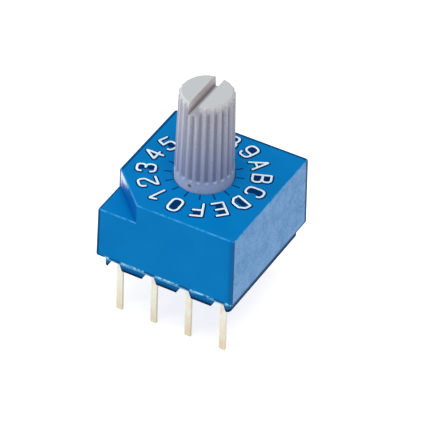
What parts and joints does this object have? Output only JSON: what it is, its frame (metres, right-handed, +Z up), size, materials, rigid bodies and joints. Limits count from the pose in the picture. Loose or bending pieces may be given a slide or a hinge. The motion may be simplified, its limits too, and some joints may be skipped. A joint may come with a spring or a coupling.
{
  "type": "rotary code switch",
  "caption": "Square blue rotary code switch with a serrated grey shaft, hexadecimal dial, keyed corner and through-hole leads.",
  "frame": {"origin": "on the shaft axis at the board plane, which the feet of the base stand on", "axes": "+Z up along the shaft, X along the rows of leads, -Y the side that character 0 faces, the keyed corner at -X -Y"},
  "size_m": [0.01, 0.01, 0.0169],
  "materials": {
    "blue_cover": "fine moulded satin",
    "blue_base": "moulded",
    "grey_shaft": "fine moulded satin",
    "gilded_lead": "thin gilding, soft sheen",
    "gilded_contact": "bright gilding",
    "spring_steel": "rolled strip",
    "rubber": "matte",
    "resin": "cured, slightly glossy",
    "white_marking": "printed",
    "dark_marking": "engraved tick"
  },
  "bodies": {
    "housing": {"cover": "blue_cover", "base": "blue_base", "seam_seal": "resin", "detent_spring_front": "spring_steel", "detent_spring_rear": "spring_steel", "terminal_bit_1": "gilded_lead", "terminal_bit_2": "gilded_lead", "terminal_bit_4": "gilded_lead", "terminal_bit_8": "gilded_lead", "terminal_common": "gilded_lead"},
    "turning_shaft": {"rotor": "grey_shaft", "o_ring": "rubber", "code_disc": "gilded_contact"}
  },
  "joints": [
    {"name": "rotor_turn", "type": "hinge", "parent": "housing", "child": "turning_shaft", "pos_m": [0, 0, 0.0062], "axis": [0, 0, 1], "continuous": true, "deforming": ["detent_spring_front", "detent_spring_rear"]}
  ]
}
